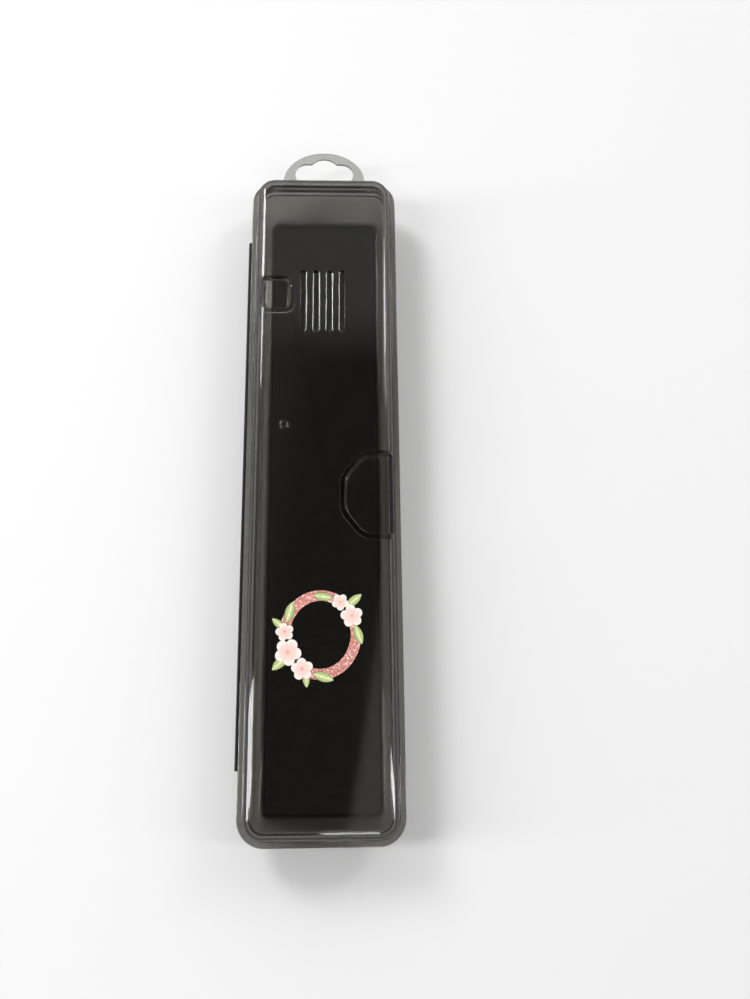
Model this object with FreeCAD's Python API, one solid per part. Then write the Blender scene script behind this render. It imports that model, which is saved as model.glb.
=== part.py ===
"""Travel toothbrush holder: a slim hinged case of smoky plastic with a hang tab.

The case lies closed on its base. +Z is up, +Y points to the hang tab and +X to the opening
side, so the hinge is at -X. The origin lies on the flat underside, below the middle of the outline.
All sizes are in millimetres and all angles in degrees.
"""
import FreeCAD
import Part

import math
import os

# Case outline at the flanges
case_length = 208.8
case_width = 47.0
case_corner = 7.7
flange_width = 1.7
flange_thickness = 1.2

# Heights: the base, the gap between the two flanges, the lid
base_height = 12.0
parting_gap = 0.1
lid_height = 7.9

# Moulded walls
wall = 1.4
floor = 2.0
base_side_draft = 9.0
base_end_draft = 17.0
base_far_step = 1.6
lid_draft = 5.0
base_edge_radius = 3.6
base_edge_sections = 6
lid_shoulder_radius = 3.2

# Lip on the base that the lid closes over, on the opening side and along both ends
lip_height = 1.6
lip_thickness = 0.8
lip_inset = 2.45
lip_clearance = 0.15
lip_headroom = 0.2
lip_root = 1.0
lip_start_x = -16.0
catch_length = 24.0
catch_radius = 0.2
catch_groove_radius = 0.3
catch_height = 1.1

# Vent slots in the lid
vent_count = 4
vent_pitch = 4.1
vent_width = 1.5
vent_length = 21.0
vent_centre = (-0.2, 57.45)

# Port beside the vents: a funnel that narrows to a hole
port_mouth_centre = (-14.9, 60.25)
port_mouth = (9.5, 10.6)
port_mouth_corner = 1.8
port_hole_centre = (-14.6, 60.75)
port_hole = (6.15, 9.5)
port_hole_corner = 1.0
port_depth = 2.2
port_wall = 1.1

# Thumb recess, a step let into the lid and open at the +X side: a straight end, two slanted runs, two sides
thumb_left = 6.8
thumb_centre_y = -5.4
thumb_end_half = 4.9
thumb_bend_x = 12.5
thumb_half_width = 12.1
thumb_rounding = 2.5
thumb_depth = 2.2
thumb_draft = 6.0

# Folded hinge strip along the -X flanges
hinge_length = 166.0
hinge_centre_y = -1.0
hinge_thickness = 0.4
hinge_fold_radius = 0.5
hinge_leaf = 0.5

# Hang tab: an elliptical arch with a hook slot, bonded under the base flange
tab_thickness = 0.8
tab_lap = 1.55
tab_half_width = 13.65
tab_arch_start = 2.0
tab_arch_rise = 11.2
hook_slot_length = 19.6
hook_slot_height = 7.8
hook_slot_offset = 5.1
hook_lobe_radius = 5.2
hook_lobe_offset = 5.8

# Decal on the lid: an oval ring with a spray of blossoms and leaves across it
decal_centre = (-0.4, -47.0)
decal_thickness = 0.12
decal_gap = 0.08
ring_outer = (11.6, 12.6)
ring_inner = (8.6, 9.6)
petal_count = 5
petal_size = 0.43
petal_reach = 0.56
# Each blossom: angle on the ring's middle line, radius
blossoms = ((206.0, 3.8), (240.0, 3.1), (176.0, 2.6), (28.0, 3.2), (56.0, 2.4))
# Each leaf: angle of its root on the ring's middle line, direction, length
leaves = (
    (258.0, -18.0, 6.2),
    (246.0, 275.0, 4.6),
    (210.0, 222.0, 6.4),
    (162.0, 74.0, 6.2),
    (172.0, 140.0, 4.8),
    (70.0, 172.0, 5.6),
    (44.0, 40.0, 5.8),
    (14.0, 290.0, 5.8),
)
least_scrap = 0.1
leaf_slenderness = 0.42

# Planes and lines worked out from the sizes above
lid_floor = base_height + parting_gap
case_height = lid_floor + lid_height
wall_inset = flange_width + wall
hinge_axis_x = -(case_width / 2 + hinge_leaf)
hinge_axis_z = base_height + parting_gap / 2
far_edge = case_length / 2

UP = FreeCAD.Vector(0, 0, 1)
ALONG = FreeCAD.Vector(0, 1, 0)


def vec(x, y, z=0.0):
    return FreeCAD.Vector(x, y, z)


def linked(arcs):
    """A closed wire of arcs in order, with a straight run from each to the next."""
    edges = []
    for arc, following in zip(arcs, arcs[1:] + arcs[:1]):
        edges.append(arc)
        edges.append(Part.makeLine(arc.Vertexes[-1].Point, following.Vertexes[0].Point))
    return Part.Wire(edges)


def rounded_rectangle(width, length, corner, z, centre=(0.0, 0.0)):
    """A closed wire of four sides and four quarter arcs."""
    x = width / 2 - corner
    y = length / 2 - corner
    # corners in order round the outline, each with the angle where its arc starts
    corners = ((x, y, 0), (-x, y, 90), (-x, -y, 180), (x, -y, 270))
    arcs = []
    for cx, cy, start in corners:
        middle = vec(cx + centre[0], cy + centre[1], z)
        arcs.append(Part.makeCircle(corner, middle, UP, start, start + 90))
    return linked(arcs)


def rounded_polygon(corners, radius, z):
    """A closed wire of straight runs with every corner rounded by one radius."""
    points = [vec(x, y, z) for x, y in corners]
    arcs = []
    for before, corner, after in zip(points[-1:] + points[:-1], points, points[1:] + points[:1]):
        back = (before - corner).normalize()
        ahead = (after - corner).normalize()
        half_angle = back.getAngle(ahead) / 2
        touch = radius / math.tan(half_angle)
        crest = corner + (back + ahead).normalize() * (radius / math.sin(half_angle) - radius)
        arcs.append(Part.Arc(corner + back * touch, crest, corner + ahead * touch).toShape())
    return linked(arcs)


def outline(inset, z, near_inset=None, far_inset=None):
    """The case outline at a height, drawn in by an inset at the sides and perhaps by others at the two ends."""
    near = inset if near_inset is None else near_inset
    far = inset if far_inset is None else far_inset
    length = case_length - near - far
    return rounded_rectangle(case_width - 2 * inset, length, case_corner - inset, z, (0.0, (near - far) / 2))


def plate(inset, z_low, z_high):
    """A flat block with the case outline drawn in by an inset."""
    return Part.Face(outline(inset, z_low)).extrude(vec(0, 0, z_high - z_low))


def edges_at(solid, z):
    """The edges of a solid that lie in one level plane."""
    return [e for e in solid.Edges if all(abs(v.Z - z) < 1e-6 for v in e.Vertexes)]


def drawn_in(height, full_height, draft, radius):
    """How far a leaning wall with a round foot has drawn in at a height above its foot."""
    lean = math.radians(draft)
    if height >= radius * (1 - math.sin(lean)):
        return (full_height - height) * math.tan(lean)
    middle = (full_height - radius) * math.tan(lean) + radius / math.cos(lean)
    return middle - math.sqrt(radius ** 2 - (radius - height) ** 2)


def base_block(inset, z_end, radius):
    """The base's form below its flange: leaning walls, steeper at the sides, and a round bottom edge.

    The far wall stands a step further in than the near one.
    """
    full_height = base_height - z_end
    far_inset = inset + base_far_step
    sections = []
    for number in range(base_edge_sections + 1):
        turn = base_side_draft + (90.0 - base_side_draft) * number / base_edge_sections
        height = radius * (1 - math.sin(math.radians(turn)))
        side = inset + drawn_in(height, full_height, base_side_draft, radius)
        end = drawn_in(height, full_height, base_end_draft, radius)
        sections.append(outline(side, z_end + height, inset + end, far_inset + end))
    walls = Part.makeLoft([outline(inset, base_height, inset, far_inset), sections[0]], True, True)
    return walls.fuse(Part.makeLoft(sections, True, False)).removeSplitter()


def lid_block(inset, z_end, radius):
    """The lid's form above its flange, with round shoulders."""
    shoulder_inset = inset + (z_end - lid_floor) * math.tan(math.radians(lid_draft))
    block = Part.makeLoft([outline(inset, lid_floor), outline(shoulder_inset, z_end)], True, True)
    return block.makeFillet(radius, edges_at(block, z_end))


def beyond(x_start, z_low, z_high):
    """A box over the part of the case on the +X side of a plane."""
    reach = case_width
    box = Part.makeBox(reach, 2 * case_length, z_high - z_low)
    box.translate(vec(x_start, -case_length, z_low))
    return box


def stadium(width, length, z_low, z_high, centre):
    """An upright slot-shaped block with round ends, along Y."""
    wire = rounded_rectangle(width, length, width / 2 - 1e-4, z_low, centre)
    return Part.Face(wire).extrude(vec(0, 0, z_high - z_low))


def funnel(grow, z_low, z_high):
    """The port's tapering bore between two heights, wider all round by an amount."""
    mouth = rounded_rectangle(
        port_mouth[0] + 2 * grow, port_mouth[1] + 2 * grow, port_mouth_corner + grow, z_high, port_mouth_centre)
    hole = rounded_rectangle(
        port_hole[0] + 2 * grow, port_hole[1] + 2 * grow, port_hole_corner + grow, z_low, port_hole_centre)
    return Part.makeLoft([hole, mouth], True, True)


def catch_bar(radius):
    """The round bar of the catch along the opening side."""
    x = case_width / 2 - lip_inset
    start = vec(x, thumb_centre_y - catch_length / 2, base_height + catch_height)
    return Part.makeCylinder(radius, catch_length, start, ALONG)


def base_tray():
    tray = base_block(flange_width, 0.0, base_edge_radius)
    tray = tray.fuse(plate(0.0, base_height - flange_thickness, base_height))
    lip = plate(lip_inset, base_height - lip_root, base_height + lip_height)
    lip = lip.common(beyond(lip_start_x, 0.0, case_height))
    tray = tray.cut(base_block(wall_inset, floor, base_edge_radius - wall))
    lip = lip.cut(plate(lip_inset + lip_thickness, 0.0, case_height))
    tray = tray.fuse(lip).fuse(catch_bar(catch_radius))
    return tray.removeSplitter()


def thumb_outline(grow, z):
    """The thumb recess at a height: its wall leans out upwards from its outline at half depth."""
    out = grow + (z - case_height + thumb_depth / 2) * math.tan(math.radians(thumb_draft))
    slant = math.atan2(thumb_half_width - thumb_end_half, thumb_bend_x - thumb_left)
    end_half = thumb_end_half + out * math.tan(math.pi / 4 - slant / 2)
    bend_x = thumb_bend_x - out * math.tan(slant / 2)
    half_width = thumb_half_width + out
    upper = [(thumb_left - out, end_half), (bend_x, half_width), (2 * case_width, half_width)]
    lower = [(x, -y) for x, y in reversed(upper)]
    corners = [(x, y + thumb_centre_y) for x, y in lower + upper]
    return rounded_polygon(corners, thumb_rounding + out, z)


def thumb_prism(grow):
    """A block over the thumb recess, wider all round by an amount, that runs out at the +X side."""
    return Part.makeLoft([thumb_outline(grow, lid_floor), thumb_outline(grow, case_height + wall)], True, True)


def stepped_lid(inset, z_end, radius, grow):
    """The lid's form with the thumb recess stepped down in it."""
    high = lid_block(inset, z_end, radius)
    low = lid_block(inset, z_end - thumb_depth, radius)
    return high.cut(thumb_prism(grow).cut(low))


def lid_shell():
    shell = stepped_lid(flange_width, case_height, lid_shoulder_radius, 0.0)
    step_wall = wall / math.cos(math.radians(thumb_draft))
    hollow = stepped_lid(wall_inset, case_height - wall, lid_shoulder_radius - wall, step_wall)
    port_floor = case_height - port_depth
    hollow = hollow.cut(funnel(port_wall, port_floor, case_height))

    shell = shell.fuse(plate(0.0, lid_floor, lid_floor + flange_thickness)).cut(hollow)
    shell = shell.cut(funnel(0.0, port_floor, case_height))
    rebate = plate(lip_inset - lip_clearance, lid_floor, base_height + lip_height + lip_headroom)
    rebate = rebate.common(beyond(lip_start_x - lip_headroom, 0.0, case_height))
    shell = shell.cut(rebate).cut(catch_bar(catch_groove_radius))
    first_vent = vent_centre[0] - (vent_count - 1) / 2 * vent_pitch
    for number in range(vent_count):
        centre = (first_vent + number * vent_pitch, vent_centre[1])
        shell = shell.cut(stadium(vent_width, vent_length, lid_floor, case_height + wall, centre))
    return shell.removeSplitter()


def hinge_strip():
    """A hairpin: two short leaves on the flange edges, joined by a half-round fold."""
    inner = hinge_fold_radius - hinge_thickness
    x = hinge_axis_x
    z = hinge_axis_z
    y = hinge_centre_y - hinge_length / 2
    root = x + hinge_leaf
    outer_fold = Part.Arc(
        vec(x, y, z + hinge_fold_radius), vec(x - hinge_fold_radius, y, z), vec(x, y, z - hinge_fold_radius))
    inner_fold = Part.Arc(vec(x, y, z - inner), vec(x - inner, y, z), vec(x, y, z + inner))
    edges = [
        Part.makeLine(vec(root, y, z + hinge_fold_radius), vec(x, y, z + hinge_fold_radius)),
        outer_fold.toShape(),
        Part.makeLine(vec(x, y, z - hinge_fold_radius), vec(root, y, z - hinge_fold_radius)),
        Part.makeLine(vec(root, y, z - hinge_fold_radius), vec(root, y, z - inner)),
        Part.makeLine(vec(root, y, z - inner), vec(x, y, z - inner)),
        inner_fold.toShape(),
        Part.makeLine(vec(x, y, z + inner), vec(root, y, z + inner)),
        Part.makeLine(vec(root, y, z + inner), vec(root, y, z + hinge_fold_radius)),
    ]
    return Part.Face(Part.Wire(edges)).extrude(vec(0, hinge_length, 0))


def hang_tab():
    z = base_height - flange_thickness - tab_thickness
    root_y = far_edge - tab_lap
    arch_y = far_edge + tab_arch_start
    crown = Part.Ellipse(vec(0, arch_y, z), tab_half_width, tab_arch_rise)
    arch = Part.Arc(crown, 0.0, math.pi).toShape()
    right = vec(tab_half_width, arch_y, z)
    left = vec(-tab_half_width, arch_y, z)
    edges = [
        arch,
        Part.makeLine(left, vec(-tab_half_width, root_y, z)),
        Part.makeLine(vec(-tab_half_width, root_y, z), vec(tab_half_width, root_y, z)),
        Part.makeLine(vec(tab_half_width, root_y, z), right),
    ]
    tab = Part.Face(Part.Wire(edges)).extrude(vec(0, 0, tab_thickness))
    slot = rounded_rectangle(
        hook_slot_length, hook_slot_height, hook_slot_height / 2 - 1e-4, z, (0.0, far_edge + hook_slot_offset))
    slot = Part.Face(slot).extrude(vec(0, 0, tab_thickness))
    lobe = Part.makeCylinder(hook_lobe_radius, tab_thickness, vec(0, far_edge + hook_lobe_offset, z))
    return tab.cut(slot.fuse(lobe)).removeSplitter()


def on_ring(angle):
    """A point on the middle line of the decal's ring."""
    turn = math.radians(angle)
    x = decal_centre[0] + (ring_outer[0] + ring_inner[0]) / 2 * math.cos(turn)
    y = decal_centre[1] + (ring_outer[1] + ring_inner[1]) / 2 * math.sin(turn)
    return vec(x, y, case_height)


def pressed(wire):
    """A flat outline given the thickness of the vinyl."""
    return Part.Face(wire).extrude(vec(0, 0, decal_thickness))


def oval(half_axes):
    """An upright oval sheet: the second half axis, along Y, is the longer one."""
    centre = vec(*decal_centre, case_height)
    top = centre + vec(0, half_axes[1])
    side = centre + vec(half_axes[0], 0)
    return pressed(Part.Wire(Part.Ellipse(top, side, centre).toShape()))


def disc(centre, radius):
    return Part.makeCylinder(radius, decal_thickness, centre)


def blossom(angle, radius, grow=0.0):
    """A flat flower: round petals about a centre."""
    centre = on_ring(angle)
    flower = disc(centre, radius * petal_reach)
    for number in range(petal_count):
        turn = math.radians(angle + 360.0 / petal_count * number)
        reach = vec(math.cos(turn), math.sin(turn)) * (radius * (1 - petal_size))
        flower = flower.fuse(disc(centre + reach, radius * petal_size + grow))
    return flower


def leaf(angle, direction, length, grow=0.0):
    """A flat pointed leaf between two arcs."""
    turn = math.radians(direction)
    axis = vec(math.cos(turn), math.sin(turn))
    side = vec(-axis.y, axis.x) * (length * leaf_slenderness / 2 + grow)
    root = on_ring(angle) - axis * grow
    tip = root + axis * (length + 2 * grow)
    middle = (root + tip) * 0.5
    edges = [Part.Arc(root, middle + side, tip).toShape(), Part.Arc(tip, middle - side, root).toShape()]
    return pressed(Part.Wire(edges))


def joined(solids):
    return solids[0].fuse(solids[1:]).removeSplitter()


def without_scraps(sheet):
    """The pieces of a cut sheet that are large enough to peel and lay."""
    return Part.makeCompound([solid for solid in sheet.Solids if solid.Volume > least_scrap])


def decal():
    """The ring, the blossoms and the leaves, cut so that they lie side by side."""
    flowers = joined([blossom(*values) for values in blossoms])
    flower_space = joined([blossom(*values, decal_gap) for values in blossoms])
    greens = joined([leaf(*values) for values in leaves]).cut(flower_space)
    green_space = joined([leaf(*values, decal_gap) for values in leaves])
    ring = oval(ring_outer).cut(oval(ring_inner)).cut(flower_space).cut(green_space)
    return {
        "decal_ring": without_scraps(ring),
        "decal_blossoms": flowers,
        "decal_leaves": without_scraps(greens),
    }


def main():
    os.makedirs("parts", exist_ok=True)
    pieces = {
        "base_tray": base_tray(),
        "lid_shell": lid_shell(),
        "hinge_strip": hinge_strip(),
        "hang_tab": hang_tab(),
    }
    pieces.update(decal())
    for name, shape in pieces.items():
        shape.exportStep("parts/" + name + ".step")
        print(name, "solids", len(shape.Solids), "valid", shape.isValid(), "mm3", round(shape.Volume, 1))


main()
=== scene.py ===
"""Travel toothbrush case: two smoky shells on a folded hinge strip, a hang tab and a decal.

The packed solids are the fixed frame. The shells, the hinge strip, the blossoms and the leaves are
worked out again here as finer surfaces with rounded edges; the tab and the decal's ring keep their
solids and get a finish. Lengths are in metres and angles in radians, unless a comment says otherwise.
"""
import math

import bmesh
import bpy
import numpy as np
from mathutils import Matrix, Vector


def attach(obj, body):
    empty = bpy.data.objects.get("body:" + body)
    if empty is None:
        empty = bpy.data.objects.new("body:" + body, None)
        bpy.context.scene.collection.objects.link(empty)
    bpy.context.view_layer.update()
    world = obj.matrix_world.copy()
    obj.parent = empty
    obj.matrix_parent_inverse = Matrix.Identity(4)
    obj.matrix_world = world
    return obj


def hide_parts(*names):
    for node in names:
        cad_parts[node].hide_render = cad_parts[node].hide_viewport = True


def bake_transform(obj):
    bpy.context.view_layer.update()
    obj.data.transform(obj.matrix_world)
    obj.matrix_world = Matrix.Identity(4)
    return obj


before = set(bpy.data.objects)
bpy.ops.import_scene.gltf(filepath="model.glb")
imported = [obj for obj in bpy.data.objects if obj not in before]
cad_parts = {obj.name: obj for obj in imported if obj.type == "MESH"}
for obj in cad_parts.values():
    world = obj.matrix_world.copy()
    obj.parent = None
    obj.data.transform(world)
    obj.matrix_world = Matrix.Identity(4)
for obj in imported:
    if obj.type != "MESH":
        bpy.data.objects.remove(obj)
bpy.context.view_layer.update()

bl_info = {
    "name": "Travel toothbrush case",
    "version": (1, 0, 0),
    "blender": (4, 5, 0),
    "location": "3D View > Sidebar > Brush case",
    "description": "Dresses a hinged toothbrush case of smoky plastic and its stage",
    "category": "Object",
}

MM = 0.001
# The picture's height in pixels, which the camera's focal length refers to
PICTURE_HEIGHT = 999.0
# How near points are merged and how short edges are dropped, in a new form and after a cut
NEW_FORM = (1e-7, 1e-8)
AFTER_CUT = (2e-6, 1e-6)
# What is left of the corner radius where a profile has run in to the middle of a floor or a top
LAST_CORNER = 0.4 * MM
# Rounding of the edges at the parting line over that of the other edges
PARTING_EDGE = 0.6
# How high the cutting tools reach, over the case's height
TOOL_REACH = 1.5
# How many degrees short of level the rounding of a hole's upper edge meets the lid's surface
FLARE = 10.0
# Points along each corner of the port's outline
PORT_STEPS = 9
# Height of the decal's cut edges over the vinyl's thickness
CUT_EDGE = 0.01
# Each blossom: angle on the ring's middle line in degrees, radius in millimetres
BLOSSOMS = ((206.0, 3.8), (240.0, 3.1), (176.0, 2.6), (28.0, 3.2), (56.0, 2.4))
# Each leaf: angle of its root on the ring's middle line and direction in degrees, length in millimetres
LEAVES = (
    (258.0, -18.0, 6.2),
    (246.0, 275.0, 4.6),
    (210.0, 222.0, 6.4),
    (162.0, 74.0, 6.2),
    (172.0, 140.0, 4.8),
    (70.0, 172.0, 5.6),
    (44.0, 40.0, 5.8),
    (14.0, 290.0, 5.8),
)
# Each lamp: where it stands, its width and height, and its radiance as a multiple of a white floor's
LAMPS = {
    "left window": ((-0.95, -0.08, 0.62), (0.18, 1.0), 14.0),
    "far left window": ((-0.60, 0.675, 0.80), (0.31, 0.40), 16.0),
    "right window": ((0.95, -0.135, 0.70), (0.055, 0.8), 16.0),
    "far right window": ((0.72, 0.57, 0.75), (0.13, 0.40), 13.0),
    "near window": ((0.018, -0.95, 0.85), (0.09, 0.30), 13.0),
}


# Settings

def size(name, description, default):
    return bpy.props.FloatProperty(
        name=name, description=description, default=default, unit="LENGTH", precision=5)


def place(name, description, default):
    return bpy.props.FloatVectorProperty(
        name=name, description=description, default=default, size=len(default), unit="LENGTH", precision=5)


def slope(name, description, degrees):
    return bpy.props.FloatProperty(
        name=name, description=description, default=math.radians(degrees), subtype="ANGLE")


def share(name, description, default):
    return bpy.props.FloatProperty(
        name=name, description=description, default=default, min=0.0, max=1.0, subtype="FACTOR")


def amount(name, description, default):
    return bpy.props.FloatProperty(name=name, description=description, default=default, min=0.0)


def number(name, description, default, lowest):
    return bpy.props.IntProperty(name=name, description=description, default=default, min=lowest)


def colour(name, description, default):
    return bpy.props.FloatVectorProperty(
        name=name, description=description, default=default, size=3, min=0.0, max=1.0, subtype="COLOR")


class CaseForm(bpy.types.PropertyGroup):
    """Outline, heights and walls of the two shells."""
    length: size("Length", "Case length over its flanges", 0.2088)
    width: size("Width", "Case width over its flanges", 0.047)
    corner: size("Corner", "Corner radius of the flanges", 0.0077)
    flange_width: size("Flange width", "How far the flange stands out from the wall", 0.0017)
    flange_thickness: size("Flange thickness", "Thickness of each flange", 0.0012)
    base_height: size("Base height", "From the table to the base's rim", 0.012)
    parting_gap: size("Parting gap", "Gap between the two flanges", 0.0001)
    lid_height: size("Lid height", "From the lid's rim to its top", 0.0079)
    wall: size("Wall", "Thickness of the moulded walls", 0.0014)
    floor: size("Floor", "Thickness of the base's floor", 0.0020)
    side_draft: slope("Side draft", "Lean of the base's long walls", 9.0)
    end_draft: slope("End draft", "Lean of the base's end walls", 17.0)
    far_step: size("Far step", "How much further in the base's far wall stands than the near one", 0.0016)
    lid_draft: slope("Lid draft", "Lean of the lid's walls", 5.0)
    foot_radius: size("Foot radius", "Outer radius of the base's bottom edge", 0.0036)
    shoulder_radius: size("Shoulder radius", "Outer radius of the lid's shoulders", 0.0032)
    edge_radius: size("Edge radius", "Small rounding on the moulding's edges", 0.00025)
    root_radius: size("Root radius", "Fillet where a wall meets its flange", 0.0004)
    lip_height: size("Lip height", "How far the lip stands above the base's rim", 0.0016)
    lip_thickness: size("Lip thickness", "Thickness of the lip", 0.0008)
    lip_inset: size("Lip inset", "From the flange's edge to the lip", 0.00245)
    lip_clearance: size("Lip clearance", "Side gap of the lid round the lip", 0.00015)
    lip_headroom: size("Lip headroom", "Gap of the lid over the lip", 0.0002)
    lip_root: size("Lip root", "How deep the lip is let into the base", 0.001)
    lip_start: size("Lip start", "Where the lip begins, from the middle towards the opening side", -0.016)
    catch_length: size("Catch length", "Length of the catch bead on the lip", 0.024)
    catch_radius: size("Catch radius", "Radius of the catch bead", 0.0002)
    groove_radius: size("Groove radius", "Radius of the groove that takes the bead", 0.0003)
    catch_height: size("Catch height", "Height of the bead above the base's rim", 0.0011)


class LidOpenings(bpy.types.PropertyGroup):
    """Vents, port and thumb recess of the lid."""
    vent_count: number("Vents", "Number of vent slots", 4, 1)
    vent_pitch: size("Vent pitch", "From one slot to the next", 0.0041)
    vent_width: size("Vent width", "Width of a slot", 0.0015)
    vent_length: size("Vent length", "Length of a slot", 0.021)
    vent_centre: place("Vent centre", "Middle of the slots", (-0.0002, 0.05745))
    vent_edge: size("Vent edge", "Crown radius of the ribs between the slots", 0.0018)
    vent_rim: size("Vent rim", "Crown radius of the slots' other edges", 0.0002)
    vent_crown: slope("Vent crown", "How steeply a rib's crown ends at the slot", 30.0)
    mouth_centre: place("Mouth centre", "Middle of the port's mouth", (-0.0149, 0.06025))
    mouth: place("Mouth", "Size of the port's mouth", (0.0095, 0.0106))
    mouth_corner: size("Mouth corner", "Corner radius of the mouth", 0.0018)
    hole_centre: place("Hole centre", "Middle of the port's hole", (-0.0146, 0.06075))
    hole: place("Hole", "Size of the port's hole", (0.00615, 0.0095))
    hole_corner: size("Hole corner", "Corner radius of the hole", 0.001)
    port_depth: size("Port depth", "Depth of the funnel below the lid's top", 0.0022)
    port_wall: size("Port wall", "Thickness of the funnel's wall", 0.0011)
    port_edge: size("Port edge", "Rounding of the mouth's edge", 0.0004)
    recess_left: size("Recess left", "Where the thumb recess begins", 0.0068)
    recess_centre: size("Recess centre", "Middle of the thumb recess along the case", -0.0054)
    recess_end: size("Recess end", "Half the length of the recess's straight end", 0.0049)
    recess_bend: size("Recess bend", "Where the recess's sides bend in", 0.0125)
    recess_half: size("Recess half width", "Half the width of the thumb recess", 0.0121)
    recess_rounding: size("Recess rounding", "Radius of the recess's corners in plan", 0.0045)
    recess_depth: size("Recess depth", "Depth of the thumb recess", 0.0022)
    recess_lean: slope("Recess lean", "Lean of the recess's wall", 6.0)
    recess_shoulder: size("Recess shoulder", "Outer radius where the recess's floor meets the wall", 0.0012)
    recess_edge: size("Recess edge", "Rounding of the recess's rim and foot", 0.0004)
    mark_centre: place("Mark centre", "Middle of the small moulding mark on the lid", (-0.0116, 0.0163))
    mark_radius: size("Mark radius", "Radius of the mark's groove", 0.0011)
    mark_groove: size("Mark groove", "Section radius of the mark's groove", 0.00031)


class HingeForm(bpy.types.PropertyGroup):
    """The folded strip that joins the flanges."""
    length: size("Length", "Length of the strip", 0.166)
    centre: size("Centre", "Middle of the strip along the case", -0.001)
    thickness: size("Thickness", "Thickness of the strip", 0.0004)
    fold_radius: size("Fold radius", "Outer radius of the fold", 0.0005)
    leaf: size("Leaf", "Length of each leaf", 0.0005)


class DecalForm(bpy.types.PropertyGroup):
    """The generic decal: a glitter ring with blossoms and leaves."""
    centre: place("Centre", "Middle of the ring", (-0.0004, -0.047))
    ring: place("Ring", "Half sizes of the ring's middle line", (0.0101, 0.0111))
    thickness: size("Thickness", "Thickness of the vinyl", 0.00012)
    petals: number("Petals", "Petals of a blossom", 5, 3)
    petal_size: share("Petal size", "Radius of a petal over the blossom's", 0.43)
    leaf_slenderness: share("Leaf slenderness", "Width of a leaf over its length", 0.42)


class Finishes(bpy.types.PropertyGroup):
    """Colours and finishes."""
    smoke: colour("Smoke", "What the smoky plastic lets through", (0.36, 0.345, 0.30))
    smoke_density: amount("Smoke density", "Absorption of the smoky plastic per metre", 900.0)
    smoke_shadow: colour("Smoke shadow", "Light let through a face to the shade", (0.34, 0.33, 0.31))
    polish: share("Polish", "Roughness of the moulded faces", 0.035)
    hinge: colour("Hinge", "Colour of the folded strip", (0.004, 0.004, 0.0035))
    tab: colour("Tab", "What the tab's plastic lets through", (0.40, 0.40, 0.375))
    tab_density: amount("Tab density", "Absorption of the tab per metre", 1350.0)
    tab_shadow: colour("Tab shadow", "Light let through a face to the shade", (0.78, 0.78, 0.76))
    glitter_dark: colour("Glitter dark", "Darkest flakes", (0.250, 0.075, 0.060))
    glitter: colour("Glitter", "Most flakes", (0.560, 0.205, 0.170))
    glitter_light: colour("Glitter light", "Brightest flakes", (0.930, 0.720, 0.660))
    petal: colour("Petal", "Petals", (0.850, 0.580, 0.520))
    petal_heart: colour("Petal heart", "Heart of a blossom and folds of its petals", (0.690, 0.250, 0.200))
    petal_rim: colour("Petal rim", "Rim of a petal", (0.900, 0.800, 0.740))
    leaf: colour("Leaf", "Leaves", (0.400, 0.470, 0.190))
    leaf_rib: colour("Leaf rib", "Midrib and veins", (0.720, 0.760, 0.480))


class StageForm(bpy.types.PropertyGroup):
    """Floor, light and camera."""
    floor_size: size("Floor size", "Side of the floor", 6.0)
    floor: colour("Floor", "Floor's colour", (0.74, 0.74, 0.74))
    white_from: size("White from", "How far from the middle the floor begins to turn white", 0.22)
    light: amount("Light", "Factor on all lamps", 1.0)
    low_sky: amount("Low sky", "Brightness round the horizon", 0.14)
    far_sky: amount("Far sky", "Brightness added low on the far side", 1.3)
    far_ceiling: amount("Far ceiling", "Brightness higher up on the far side", 0.48)
    high_sky: amount("High sky", "Brightness overhead", 0.05)
    right_sky: amount("Right sky", "Brightness added overhead to the right", 0.53)
    left_sky: amount("Left sky", "Brightness added overhead far to the left", 0.13)
    sky_lean: amount("Sky lean", "How far the dark strip overhead leans to the right along the case", 0.158)
    focal: amount("Focal length", "Focal length in pixels of the picture", 900.0)
    elevation: slope("Elevation", "How steeply the camera looks down", 74.66)
    roll: slope("Roll", "Turn about the line of sight", -0.127)
    yaw: slope("Yaw", "Turn to the side", 2.038)
    position: place("Camera", "Where the camera stands", (0.00609, -0.07768, 0.27626))


GROUPS = {
    "case_form": CaseForm,
    "lid_openings": LidOpenings,
    "hinge_form": HingeForm,
    "decal_form": DecalForm,
    "case_finishes": Finishes,
    "case_stage": StageForm,
}


# Lines and grids

def together(*parts):
    """Points from their coordinates, which may be whole grids, rows, columns or single numbers."""
    return np.stack(np.broadcast_arrays(*parts), axis=-1)


def raised(plan, z):
    """Points in plan, lifted to heights."""
    return together(plan[..., 0], plan[..., 1], z)


def full_turn(count):
    """Angles evenly round a circle, the last one short of the first."""
    return np.radians(np.linspace(0.0, 360.0, count + 1)[:-1])


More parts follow.
